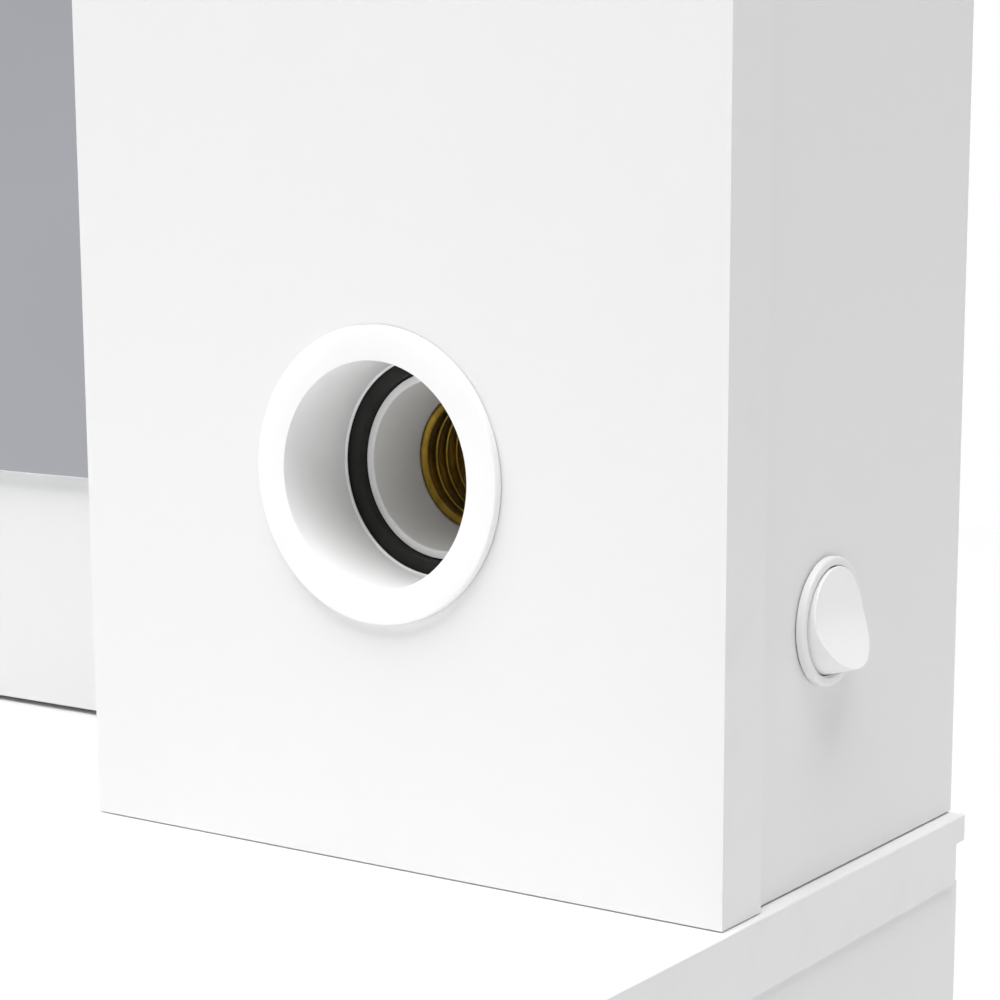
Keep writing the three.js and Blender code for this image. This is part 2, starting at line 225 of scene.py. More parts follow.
def melamine(name, base):
    """Melamine-faced board: faint orange peel, slow tone changes and soft cleaning marks in its sheen."""
    f = Finish(name, base, 0.42)
    slow = f.noise(2.2, 3)
    marks = f.noise(14, 5, 0.6, f.stretch(1, 1, 0.35))
    f.set("Base Color", f.blend(f.spread(slow, 0.35, 0.65), f.tint(base, 0.985), base))
    f.set("Roughness", f.spread(marks, 0.3, 0.7, 0.36, 0.5))
    peel = f.both("ADD", f.noise(1300, 2), f.both("MULTIPLY", f.cells(700), 0.4))
    return f.relief(peel, 0.006 * MM, 0.5).material


def edge_band(name, base):
    """Plastic edge band: drawn lines along it, a little more gloss, and dulled arrises."""
    f = Finish(name, base, 0.33)
    drawn = f.noise(900, 3, 0.6, f.stretch(1, 1, 0.02))
    rubbed = f.noise(55, 4, 0.65)
    f.set("Base Color", f.blend(f.spread(rubbed, 0.55, 0.75), base, f.tint(base, 0.965)))
    f.set("Roughness", f.spread(rubbed, 0.4, 0.75, 0.3, 0.46))
    return f.relief(drawn, 0.01 * MM, 0.6).material


def chipboard(name, base):
    """Raw chipboard: pressed chips of several tones, with pores between them."""
    f = Finish(name, base, 0.85)
    chips = f.cells(330, f.stretch(1, 1, 2.2), "Color")
    grey = f.add("RGBToBW", {0: chips})
    pores = f.cells(420, f.stretch(1, 1, 2.2))
    tone = f.blend(grey, f.tint(base, 0.62), f.tint(base, 1.35))
    f.set("Base Color", f.blend(f.spread(pores, 0.0, 0.12), f.tint(base, 0.3), tone))
    return f.relief(f.both("SUBTRACT", grey, f.spread(pores, 0, 0.2, 1, 0)), 0.25 * MM, 0.7).material


def lacquered_hardboard(name, base):
    """Hardboard with a thin white lacquer over pressed fibres."""
    f = Finish(name, base, 0.6)
    fibres = f.noise(420, 6, 0.7, f.stretch(1, 1, 0.45))
    flecks = f.cells(260)
    f.set("Base Color", f.blend(f.spread(fibres, 0.35, 0.7), f.tint(base, 0.94), f.tint(base, 1.03)))
    f.set("Roughness", f.spread(flecks, 0.1, 0.7, 0.52, 0.68))
    return f.relief(f.both("ADD", fibres, flecks), 0.05 * MM, 0.6).material


def mirror_silver(name, base):
    """Silvered glass with faint clouds of wiping left on it."""
    f = Finish(name, base, 0.03, 1.0)
    clouds = f.noise(7, 4, 0.55, f.stretch(1, 1, 0.7))
    f.set("Base Color", f.blend(f.spread(clouds, 0.3, 0.7), f.tint(base, 0.955), f.tint(base, 1.02)))
    f.set("Roughness", f.spread(clouds, 0.35, 0.8, 0.02, 0.06))
    return f.material


def glass_edge(name, base):
    """Ground edge of float glass: green depth under a fine ground surface."""
    f = Finish(name, base, 0.28, **{"Coat Weight": 0.5})
    ground = f.noise(2400, 3)
    f.set("Base Color", f.blend(f.spread(f.noise(60, 2), 0.3, 0.7), f.tint(base, 0.85), f.tint(base, 1.1)))
    f.set("Roughness", f.spread(ground, 0.3, 0.7, 0.2, 0.38))
    return f.relief(ground, 0.01 * MM, 0.5).material


def moulded(name, base, roughness, grain=0.01, scale=1500.0):
    """Moulded plastic: spark-eroded grain, its depth in millimetres, with slow changes of tone and gloss."""
    f = Finish(name, base, roughness)
    slow = f.noise(38, 3)
    f.set("Base Color", f.blend(f.spread(slow, 0.3, 0.7), f.tint(base, 0.97), base))
    f.set("Roughness", f.spread(f.noise(110, 4), 0.3, 0.7, roughness * 0.88, roughness * 1.15))
    pits = f.both("ADD", f.noise(scale, 3, 0.6), f.both("MULTIPLY", f.cells(scale * 0.6), 0.5))
    return f.relief(pits, grain * MM, 0.5).material


def worn_metal(name, base, roughness, brush, tarnish):
    """Metal with fine brushed lines along the stretch given, and dull spots of tarnish."""
    f = Finish(name, base, roughness, 1.0)
    lines = f.noise(700, 4, 0.7, f.stretch(*brush))
    spots = f.spread(f.noise(160, 5, 0.65), 0.45, 0.75)
    f.set("Base Color", f.blend(spots, base, f.tint(base, tarnish)))
    f.set("Roughness", f.both("ADD", f.spread(lines, 0.3, 0.7, roughness * 0.8, roughness * 1.2),
                              f.both("MULTIPLY", spots, 0.12)))
    return f.relief(lines, 0.012 * MM, 0.5).material


def sheath(name, base):
    """Soft cable sheath with faint extrusion rings."""
    f = Finish(name, base, 0.55)
    f.set("Base Color", f.blend(f.spread(f.noise(30, 3), 0.3, 0.7), f.tint(base, 0.94), base))
    f.set("Roughness", f.spread(f.noise(200, 4), 0.3, 0.7, 0.48, 0.62))
    return f.relief(f.noise(1200, 3), 0.02 * MM, 0.5).material


def painted_floor(name, base):
    """Pale smooth floor with the slightest mottling."""
    f = Finish(name, base, 0.7)
    f.set("Base Color", f.blend(f.spread(f.noise(1.5, 4), 0.3, 0.7), f.tint(base, 0.992), base))
    return f.relief(f.noise(90, 3), 0.05 * MM, 0.4).material


def finish(name):
    """The named finish, made the first time that it is asked for."""
    if name in bpy.data.materials:
        return bpy.data.materials[name]
    scene = bpy.context.scene
    boards, sockets, stage = scene.vanity_boards, scene.vanity_sockets, scene.vanity_stage
    makers = {
        "melamine_white": lambda: melamine(name, boards.white),
        "edge_band_white": lambda: edge_band(name, boards.band_white),
        "chipboard_core": lambda: chipboard(name, boards.core),
        "hardboard_lacquered": lambda: lacquered_hardboard(name, boards.hardboard),
        "mirror_silver": lambda: mirror_silver(name, stage.silver),
        "glass_edge": lambda: glass_edge(name, (0.6, 0.64, 0.63)),
        "mirror_backing_paint": lambda: moulded(name, (0.3, 0.31, 0.32), 0.6, 0.03),
        "trim_plastic": lambda: moulded(name, sockets.trim, 0.36, 0.0015),
        "bezel_plastic": lambda: moulded(name, sockets.bezel, 0.36, 0.0015),
        "holder_plastic": lambda: moulded(name, sockets.holder, 0.42),
        "clamp_ring_plastic": lambda: moulded(name, sockets.nut, 0.8, 0.01),
        "rocker_plastic": lambda: moulded(name, sockets.rocker, 0.32, 0.0015),
        "guide_plastic": lambda: moulded(name, (0.48, 0.48, 0.48), 0.5, 0.02),
        "block_plastic": lambda: moulded(name, (0.86, 0.85, 0.82), 0.4, 0.01),
        "gland_plastic": lambda: moulded(name, (0.02, 0.02, 0.02), 0.55, 0.03),
        # Shell brass: base colour darkened as painted shade, with real tarnish spots on top
        "shell_brass_shade_darkened": lambda: worn_metal(name, sockets.brass, 0.34, (1, 0.05, 1), 0.55),
        "contact_brass": lambda: worn_metal(name, (0.62, 0.47, 0.2), 0.3, (1, 0.1, 1), 0.7),
        "knob_nickel": lambda: worn_metal(name, (0.6, 0.6, 0.61), 0.28, (1, 0.04, 1), 0.9),
        "zinc": lambda: worn_metal(name, (0.62, 0.63, 0.66), 0.36, (1, 1, 1), 0.75),
        "cable_sheath": lambda: sheath(name, (0.82, 0.82, 0.81)),
        "floor_paint": lambda: painted_floor(name, stage.floor),
    }
    return makers[name]()


# ---------------------------------------------------------------- modelling steps


def object_mode():
    """Leave any edit, and clear the selection."""
    if bpy.context.mode != "OBJECT":
        bpy.ops.object.mode_set(mode="OBJECT")
    bpy.ops.object.select_all(action="DESELECT")


def select(obj):
    """Make this the one selected object."""
    object_mode()
    obj.select_set(True)
    bpy.context.view_layer.objects.active = obj


def started(name, finishes):
    """Name the object just added, and give it its finishes."""
    obj = bpy.context.object
    obj.name = obj.data.name = name
    for item in finishes:
        obj.data.materials.append(finish(item))
    return obj


def settle():
    """Write the object's place into its mesh."""
    bpy.ops.object.transform_apply(location=True, rotation=True, scale=True)


def choose_faces(obj, test):
    """In edit mode, select the faces whose centre and normal pass a test."""
    select(obj)
    bpy.ops.object.mode_set(mode="EDIT")
    bpy.ops.mesh.select_mode(type="FACE")
    bpy.ops.mesh.select_all(action="DESELECT")
    mesh = bmesh.from_edit_mesh(obj.data)
    chosen = 0
    for face in mesh.faces:
        if test(face.calc_center_median(), face.normal):
            face.select_set(True)
            chosen += 1
    bmesh.update_edit_mesh(obj.data)
    if not chosen:
        raise RuntimeError(f"{obj.name}: no face was found to work on")


def paint_faces(obj, slot, test):
    """Give the faces that pass a test one of the object's finishes."""
    choose_faces(obj, test)
    obj.active_material_index = slot
    bpy.ops.object.material_slot_assign()
    bpy.ops.object.mode_set(mode="OBJECT")


def modify(obj, kind, **settings):
    """Add a modifier and apply it at once."""
    select(obj)
    bpy.ops.object.modifier_add(type=kind)
    modifier = obj.modifiers[-1]
    for key, value in settings.items():
        setattr(modifier, key, value)
    bpy.ops.object.modifier_apply(modifier=modifier.name)


def round_edges(obj, width, segments=3, angle=35):
    """Round every edge sharper than the angle."""
    modify(obj, "BEVEL", width=width, segments=segments, limit_method="ANGLE",
           angle_limit=math.radians(angle), miter_outer="MITER_ARC")


def outward(obj):
    """Merge doubled points and turn every face outwards."""
    select(obj)
    bpy.ops.object.mode_set(mode="EDIT")
    bpy.ops.mesh.select_all(action="SELECT")
    bpy.ops.mesh.remove_doubles(threshold=1e-6)
    bpy.ops.mesh.normals_make_consistent(inside=False)
    bpy.ops.object.mode_set(mode="OBJECT")


def smooth(obj, angle=30):
    """Shade round surfaces smooth, and keep edges sharper than the angle."""
    select(obj)
    bpy.ops.object.shade_smooth_by_angle(angle=math.radians(angle))


def block(name, low, high, finishes):
    """A box between two corners."""
    object_mode()
    low, high = Vector(low), Vector(high)
    bpy.ops.mesh.primitive_cube_add(size=1, location=(low + high) / 2)
    obj = started(name, finishes)
    obj.scale = high - low
    settle()
    return obj


def bar(radius, start, end, facets):
    """A round tool between two points, for cutting."""
    object_mode()
    start, end = Vector(start), Vector(end)
    along = end - start
    bpy.ops.mesh.primitive_cylinder_add(
        vertices=facets, radius=radius, depth=along.length, location=(start + end) / 2,
        rotation=along.to_track_quat("Z", "Y").to_euler(),
    )
    settle()
    return bpy.context.object


def carve(obj, *tools):
    """Cut tools out of an object, and throw the tools away."""
    for tool in tools:
        modify(obj, "BOOLEAN", operation="DIFFERENCE", object=tool, solver="EXACT")
        bpy.data.objects.remove(tool)


def turned(name, profile, finishes, facets, hollow=False):
    """A turned solid about Z: a circle at the first radius, then each next ring is extruded and resized.

    The profile is (radius, height) in metres. A hollow one is closed by bridging its last ring to its first.
    """
    object_mode()
    radius, height = profile[0]
    bpy.ops.mesh.primitive_circle_add(vertices=facets, radius=radius, location=(0, 0, height))
    obj = started(name, finishes)
    settle()
    bpy.ops.object.mode_set(mode="EDIT")
    bpy.ops.mesh.select_mode(type="EDGE")
    bpy.ops.mesh.select_all(action="SELECT")
    if not hollow:
        bpy.ops.mesh.edge_face_add()
        bpy.ops.mesh.select_all(action="SELECT")
    for next_radius, next_height in profile[1:]:
        step = {"value": (0, 0, next_height - height)}
        if hollow:
            bpy.ops.mesh.extrude_edges_move(TRANSFORM_OT_translate=step)
        else:
            bpy.ops.mesh.extrude_region_move(TRANSFORM_OT_translate=step)
        factor = next_radius / radius
        bpy.ops.transform.resize(value=(factor, factor, 1), center_override=(0, 0, next_height))
        radius, height = next_radius, next_height
    if hollow:
        bpy.ops.mesh.select_all(action="DESELECT")
        bpy.ops.mesh.select_non_manifold()
        bpy.ops.mesh.bridge_edge_loops()
    bpy.ops.object.mode_set(mode="OBJECT")
    outward(obj)
    return obj


def point_along(obj, direction, place):
    """Turn an object made about Z to point along a direction, and set it down at a place."""
    select(obj)
    direction = Vector(direction)
    turns = {(0, 1, 0): (-math.pi / 2, 0, 0), (0, -1, 0): (math.pi / 2, 0, 0),
             (1, 0, 0): (0, math.pi / 2, 0), (-1, 0, 0): (0, -math.pi / 2, 0),
             (0, 0, 1): (0, 0, 0), (0, 0, -1): (math.pi, 0, 0)}
    obj.rotation_euler = turns[tuple(round(v) for v in direction)]
    obj.location = place
    settle()
    return obj


def copy_to(obj, name, shift):
    """A copy with a mesh of its own, moved by a shift."""
    select(obj)
    bpy.ops.object.duplicate(linked=False)
    twin = bpy.context.object
    twin.name = twin.data.name = name
    twin.location = shift
    settle()
    return twin


def joined(name, objects):
    """Several meshes as one object."""
    object_mode()
    for obj in objects:
        obj.select_set(True)
    bpy.context.view_layer.objects.active = objects[0]
    bpy.ops.object.join()
    objects[0].name = objects[0].data.name = name
    return objects[0]


def hand_over(obj, body, slot, *nodes):
    """Ride on a body and stand for the nodes named. The slot is not used."""
    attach(obj, body)
    if nodes:
        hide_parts(*nodes)
    return obj


# ---------------------------------------------------------------- boards


def faced_board(node, body="table", cuts=(), raw=(), seam=0.0):
    """A faced board in its node's place: edge band, raw core at cuts and raw edges, rounded arrises.

    The seam is the gap left under it.
    """
    settings = bpy.context.scene.vanity_boards
    low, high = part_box(node)
    low.z += seam
    size = high - low
    thin = min(range(3), key=lambda axis: size[axis])
    obj = block(node + "_faced", low, high, ("melamine_white", "edge_band_white", "chipboard_core"))
    choose_faces(obj, lambda centre, normal: abs(normal[thin]) > 0.9)
    bpy.ops.mesh.inset(thickness=settings.band, use_even_offset=True, use_individual=True)
    bpy.ops.object.mode_set(mode="OBJECT")
    near = settings.band * 1.01

    def on_border(centre, normal):
        reach = [min(centre[a] - low[a], high[a] - centre[a]) for a in range(3) if a != thin]
        return abs(normal[thin]) < 0.1 or min(reach) < near

    paint_faces(obj, 1, on_border)
    if raw:
        paint_faces(obj, 2, lambda centre, normal: any(normal.dot(side) > 0.9 for side in raw))
    for tool, inside in cuts:
        carve(obj, tool)
        paint_faces(obj, 2, inside)
    round_edges(obj, settings.rounding)
    outward(obj)
    return hand_over(obj, body, "white_board", node)


def thin_board(node, body="table", cuts=()):
    """A lacquered hardboard panel in its node's place."""
    obj = block(node + "_panel", *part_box(node), ("hardboard_lacquered",))
    carve(obj, *cuts)
    round_edges(obj, 0.25 * MM, 2)
    return hand_over(obj, body, "hardboard", node)


def spaced(start, end, count):
    """Evenly spaced values from one to the other."""
    return [start + (end - start) * i / (count - 1) for i in range(count)]


def round_cut(centre, axis, radius, facets):
    """A drilling tool through a board, and the test that finds the wall it leaves."""
    centre = Vector(centre)
    along = Vector((0, 0, 0))
    along[axis] = DRILL_REACH
    tool = bar(radius, centre - along, centre + along, facets)

    def inside(place, normal):
        offset = place - centre
        offset[axis] = 0
        return abs(normal[axis]) < 0.3 and offset.length < radius * 1.02

    return tool, inside


def box_cut(low, high):
    """A square cutting tool between two corners, and the test that finds the walls it leaves."""
    low, high = Vector(low), Vector(high)
    tool = block("cut", low, high, ())
    near = 0.05 * MM

    def inside(place, normal):
        within = all(low[axis] - near < place[axis] < high[axis] + near for axis in range(3))
        return within and any(
            abs(normal[axis]) > 0.9 and min(place[axis] - low[axis], high[axis] - place[axis]) < near
            for axis in range(3))

    return tool, inside


def back_rebate(node, sign, back):
    """The rebate along the inner rear edge of a side panel, into which a hardboard back laps."""
    low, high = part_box(node)
    back_low, back_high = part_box(back)
    lap = back_high.x if sign > 0 else back_low.x
    inner = low.x if sign > 0 else high.x
    x0, x1 = sorted((lap, inner - sign * OVERCUT))
    bottom = back_low.z if back_low.z > low.z + REVEAL else low.z - OVERCUT
    return box_cut((x0, back_low.y, bottom), (x1, high.y + OVERCUT, high.z + OVERCUT))


class VANITY_OT_carcase(Operator):
    """Model the tabletop, end panels, drawer floor, stretcher and table back"""

    bl_idname = "vanity.carcase"
    bl_label = "Table carcase"

    def execute(self, context):
        low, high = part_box("table_top")
        back_low, back_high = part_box("table_back")
        rebate_top = back_high.z + 1 * MM
        rebate = box_cut((low.x - OVERCUT, back_low.y, low.z - OVERCUT),
                         (high.x + OVERCUT, high.y + OVERCUT, rebate_top))
        faced_board("table_top", cuts=(rebate,))
        for side, sign in SIDES:
            node = f"end_panel_{side}"
            faced_board(node, cuts=(back_rebate(node, sign, "table_back"),))
        faced_board("drawer_compartment_floor", raw=(LEFT, RIGHT))
        faced_board("stretcher_panel", raw=(LEFT, RIGHT))
        thin_board("table_back")
        return {"FINISHED"}


class VANITY_OT_drawer(Operator):
    """Model the drawer's boards, its knobs and its guide strips"""

    bl_idname = "vanity.drawer"
    bl_label = "Drawer"

    def execute(self, context):
        faced_board("drawer_front", "drawer")
        faced_board("drawer_back", "drawer", raw=(LEFT, RIGHT))
        thin_board("drawer_bottom", "drawer")
        for side, sign in SIDES:
            low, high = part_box(f"drawer_side_{side}")
            guide_low, guide_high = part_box(f"drawer_guide_{side}")
            play, end_play = 0.5 * MM, 2 * MM
            outer = high.x if sign > 0 else low.x
            floor = (guide_low.x if sign > 0 else guide_high.x) - sign * play
            x0, x1 = sorted((floor, outer + sign * OVERCUT))
            groove = box_cut((x0, guide_low.y - end_play, guide_low.z - play),
                             (x1, high.y + OVERCUT, guide_high.z + play))
            faced_board(f"drawer_side_{side}", "drawer", cuts=(groove,))
            guide = block(f"drawer_guide_{side}_strip", guide_low, guide_high, ("guide_plastic",))
            round_edges(guide, 1.2 * MM, 3)
            hand_over(guide, "table", "grey_plastic", f"drawer_guide_{side}")
            self.knob(context, side)
        return {"FINISHED"}

    def knob(self, context, side):
        """A turned knob with a dished, rounded head and a slim neck."""
        node = f"drawer_knob_{side}"
        low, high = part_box(node)
        centre = (low + high) / 2
        reach = high.y - low.y
        profile = [(8, 0), (8, 0.8), (6.4, 2.2), (6, 5), (6.2, 8), (8, 10), (11.5, 11.4), (13.9, 13),
                   (15, 14.6), (15, 16.2), (14.3, 17.4), (12.8, 18), (9, 17.7), (4, 17.5), (0.8, 17.4)]
        knob = turned(node + "_turned", [(r * MM, h * MM * reach / (18 * MM)) for r, h in profile],
                      ("knob_nickel",), context.scene.vanity_sockets.facets)
        round_edges(knob, 0.35 * MM, 2, 25)
        smooth(knob)
        point_along(knob, (0, -1, 0), (centre.x, high.y, centre.z))
        hand_over(knob, "drawer", "knob_metal", node)


class VANITY_OT_columns(Operator):
    """Model the lamp columns, the mirror unit's back and the crown board"""

    bl_idname = "vanity.columns"
    bl_label = "Lamp columns"

    def execute(self, context):
        facets = context.scene.vanity_sockets.facets
        for side, sign in SIDES:
            holes = []
            for place in (1, 2, 3):
                low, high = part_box(f"trim_ring_{side}_{place}")
                centre = (low + high) / 2
                holes.append(round_cut(centre, 1, LAMP_HOLE, facets))
            faced_board(f"column_front_{side}", cuts=holes, seam=SEAM)
            node = f"column_outer_side_{side}"
            cuts = [back_rebate(node, sign, "mirror_unit_back")]
            if side == "right":
                low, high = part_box("switch_housing")
                cuts.append(round_cut((low + high) / 2, 0, SWITCH_HOLE, facets))
            faced_board(node, cuts=cuts, raw=(UP,), seam=SEAM)
            low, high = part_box(f"column_inner_side_{side}")
            back_low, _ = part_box("mirror_unit_back")
            entry = ((low.x + high.x) / 2, back_low.y - CABLE_BEFORE_BACK, high.z - CABLE_BELOW_TOP)
            hole = round_cut(entry, 0, CABLE_HOLE, 32)
            faced_board(f"column_inner_side_{side}", cuts=(hole,), raw=(UP,))
        low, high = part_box("cable_gland")
        centre = (low + high) / 2
        tool, _ = round_cut(centre, 1, GLAND_HOLE, SMALL_FACETS)
        thin_board("mirror_unit_back", cuts=(tool,))
        faced_board("crown_board")
        return {"FINISHED"}


class VANITY_OT_mirror(Operator):
    """Model the mirror glass and the board it is glued to"""

    bl_idname = "vanity.mirror"
    bl_label = "Mirror"

    def execute(self, context):
        faced_board("mirror_board", raw=(UP, LEFT, RIGHT))
        low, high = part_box("mirror_glass")
        glass = block("mirror_silvered_glass", low, high,
                      ("mirror_silver", "glass_edge", "mirror_backing_paint"))
        paint_faces(glass, 1, lambda centre, normal: abs(normal.y) < 0.1)
        paint_faces(glass, 2, lambda centre, normal: normal.y > 0.9)
        round_edges(glass, 0.25 * MM, 2)
        hand_over(glass, "table", "mirror_glass", "mirror_glass")
        return {"FINISHED"}


# ---------------------------------------------------------------- lampholders


def arc(centre_radius, centre_height, radius, start, end, steps):
    """Points of a round for a profile, in millimetres, from one angle to another in degrees."""
    angles = [math.radians(start + (end - start) * i / steps) for i in range(steps + 1)]
    return [(centre_radius + radius * math.cos(a), centre_height + radius * math.sin(a)) for a in angles]


def in_metres(profile):
    """A profile written in millimetres, in metres."""
    return [(radius * MM, height * MM) for radius, height in profile]


class VANITY_OT_sockets(Operator):
    """Model one lampholder with its trim ring, clamp ring, shell and contacts, and copy it to each place"""

    bl_idname = "vanity.sockets"
    bl_label = "Lampholders"

    def execute(self, context):
        parts = self.model(context.scene.vanity_sockets)
        front_low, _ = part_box("column_front_right")
        for side, place in SOCKETS:
            suffix = f"{side}_{place}"
            low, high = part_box(f"screw_shell_{suffix}")
            centre = Vector(((low.x + high.x) / 2, front_low.y, (low.z + high.z) / 2))
            for stem, (pattern, slot, replaces) in parts.items():
                piece = copy_to(pattern, f"{stem}_{suffix}", centre)
                nodes = (f"{replaces}_{suffix}",) if replaces else ()
                hand_over(piece, "table", slot, *nodes)
        for pattern, _, _ in parts.values():
            bpy.data.objects.remove(pattern)
        return {"FINISHED"}

    def model(self, settings):
        """The patterns, about the socket's axis, with depth measured from the column's front face."""
        facets = settings.facets
        rounding = settings.flange_rounding / MM
        parts = {}

        def keep(stem, obj, slot, replaces=None, angle=30):
            smooth(obj, angle)
            parts[stem] = (point_along(obj, (0, 1, 0), (0, 0, 0)), slot, replaces)

        # Trim ring: flat face, rounded outer edge, shadow gap under it, and a thin lining that ends in a bead
        flange = (
            arc(23.25, -1.85, 0.25, 180, 270, 3)
            + arc(30 - rounding, -2.1 + rounding, rounding, 270, 360, 5)
            + [(30, -0.25), (29.3, -0.25), (29.3, 0), (23.7, 0), (23.7, 18.3), (23.5, 18.5), (22.9, 18.5),
               (22.7, 18.35), (22.7, 18.1), (23, 17.8)]
        )
        keep("trim", turned("trim", in_metres(flange), ("trim_plastic",), facets, hollow=True),
             "white_plastic", "trim_ring", 20)

        # Clamp ring: crisp flat face, screwed on behind the board
        nut = [(19.9, 19), (24, 19), (24, 15), (27, 15), (27, 22.1), (26.6, 22.5), (19.9, 22.5)]
        keep("clamp", turned("clamp", in_metres(nut), ("clamp_ring_plastic",), facets, hollow=True),
             "black_plastic", "clamp_ring", 20)

        # Holder: crisp rim, throat drawn in to the shell's seat, closed back. The rim's front face gets the
        # brighter trim white, a painted highlight for the light it catches from the opening.
        holder = [(14.5, 64), (15.5, 63.6), (21.6, 48.4), (22, 47.6), (22, 23), (21.5, 22.5), (19.6, 22.5),
                  (19.6, 21.1), (19.5, 21), (18, 21), (17.85, 21.15), (15.2, 33), (15.2, 56), (14, 56.3),
                  (2, 56.3)]
        body = turned("holder", in_metres(holder), ("holder_plastic", "trim_plastic"), facets)
        # Painted highlight: the rim's front face, which faces the opening, takes the brighter trim white
        paint_faces(body, 1, lambda centre, normal: normal.z < -0.9 and centre.z < 21.1 * MM)
        keep("holder", body, "white_plastic", "lampholder", 25)

        # Screw shell: flared lip, then narrow rolled ridges on a plain wall. Its brass is darkened far below
        # clean brass, as painted shade for the dim inside of the holder.
        lip = [(15, 34.2), (14.9, 33.4), (14.65, 33.2), (14.3, 33.2)]
        root, first, pitch, ridges = 13.65, 33.9, 3.6, 6
        ridge = ((-0.4, 13.6), (-0.22, 13.45), (-0.1, 13.22), (0, 13.18), (0.1, 13.22), (0.22, 13.45),
                 (0.4, 13.6))
        wall = [(r, first + turn * pitch + step) for turn in range(ridges) for step, r in ridge]
        shell = lip + wall[2:] + [(root, 55.7), (14.1, 55.7), (14.1, 35.2)]
        keep("shell", turned("shell", in_metres(shell), ("shell_brass_shade_darkened",), facets, hollow=True),
             "brass", "screw_shell", 40)

        # Centre contact: a riveted spring tongue that rises to the lamp's tip
        object_mode()
        bpy.ops.mesh.primitive_plane_add(size=1, location=(-7 * MM, 0, 55.9 * MM))
        tongue = started("tongue", ("contact_brass",))
        tongue.scale = (3 * MM, 5 * MM, 1)
        settle()
        bpy.ops.object.mode_set(mode="EDIT")
        bpy.ops.mesh.select_mode(type="EDGE")
        for step in ((3, -0.3), (3, -1.6), (3, -2.4), (2, -1.0), (1.2, 0.5)):
            mesh = bmesh.from_edit_mesh(tongue.data)
            far = max(v.co.x for v in mesh.verts)
            bpy.ops.mesh.select_all(action="DESELECT")
            for edge in mesh.edges:
                edge.select_set(all(v.co.x > far - 1e-6 for v in edge.verts))
            bmesh.update_edit_mesh(tongue.data)
            bpy.ops.mesh.extrude_edges_move(
                TRANSFORM_OT_translate={"value": (step[0] * MM, 0, step[1] * MM)})
        bpy.ops.object.mode_set(mode="OBJECT")
        modify(tongue, "SOLIDIFY", thickness=0.4 * MM, offset=0)
        modify(tongue, "SUBSURF", levels=2, render_levels=2)
        rivet = turned("rivet", in_metres([(2.2, 56), (2.2, 55.6), (1.9, 55.1), (1.2, 54.8), (0.3, 54.7)]),
                       ("contact_brass",), 32)
        contact = joined("contact", [tongue, rivet])
        keep("contact", contact, "brass", None, 40)
        return parts


# ---------------------------------------------------------------- switch


class VANITY_OT_switch(Operator):
    """Model the round rocker switch in the right column"""

    bl_idname = "vanity.switch"
    bl_label = "Rocker switch"

    def execute(self, context):
        facets = context.scene.vanity_sockets.facets
        _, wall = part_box("column_outer_side_right")
        low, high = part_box("switch_housing")
        place = Vector((wall.x, (low.y + high.y) / 2, (low.z + high.z) / 2))

        bezel = (
            [(11.6, -18), (12, -17.6), (12, 0), (12.4, 0), (12.4, 0.35), (12.9, 0.35), (13, 0.45)]
            + arc(12.4, 1.4, 0.6, 0, 90, 5)
            + arc(11.5, 1.8, 0.2, 90, 180, 2)
            + [(11.3, 1.2), (11, 1.2), (11, -9), (2, -9)]
        )
        housing = turned("switch_bezel", in_metres([(11, -18)] + bezel), ("bezel_plastic",), facets)
        smooth(housing, 25)
        point_along(housing, (1, 0, 0), place)
        hand_over(housing, "table", "white_plastic", "switch_housing")
        self.rocker(place, facets)
        return {"FINISHED"}

    def rocker(self, place, facets):
        """A round cap, hollowed across by a shallow valley, tilted about its pin."""
        tilt = math.radians(14.7)
        slope = math.tan(tilt)
        softness = 4 * MM
        valley = 2.49 * MM
        gather = 2.5  # power that draws the tool's folds towards the valley
        cap = turned("switch_rocker_cap", in_metres(
            [(7.6, -7), (8, -6.6), (10.4, -3), (10.4, 8)]), ("rocker_plastic",), facets)
        point_along(cap, (1, 0, 0), (0, 0, 0))

        # Valley tool: a strip bent to the face's section, its folds gathered in the valley, closed above
        object_mode()
        reach = 12 * MM
        bpy.ops.mesh.primitive_grid_add(x_subdivisions=1, y_subdivisions=10, size=2 * reach)
        tool = bpy.context.object
        tool.rotation_euler = (math.pi / 2, 0, math.pi / 2)
        settle()
        for vertex in tool.data.vertices:
            vertex.co.z = math.copysign(reach * abs(vertex.co.z / reach) ** gather, vertex.co.z)
            vertex.co.x = valley + (math.hypot(vertex.co.z, softness) - softness) * slope
        bpy.ops.object.mode_set(mode="EDIT")
        bpy.ops.mesh.select_all(action="SELECT")
        bpy.ops.mesh.extrude_region_move(TRANSFORM_OT_translate={"value": (reach, 0, 0)})
        bpy.ops.object.mode_set(mode="OBJECT")
        outward(tool)
        carve(cap, tool)
        smooth(cap, 30)
        modify(cap, "BEVEL", width=0.3 * MM, segments=3, limit_method="ANGLE",
               angle_limit=math.radians(40), harden_normals=True)
        select(cap)
        cap.rotation_euler = (0, -tilt, 0)
        cap.location = place + Vector((1 * MM, 0, 0))
        settle()
        hand_over(cap, "rocker", "white_plastic", "switch_rocker")


# ---------------------------------------------------------------- fittings


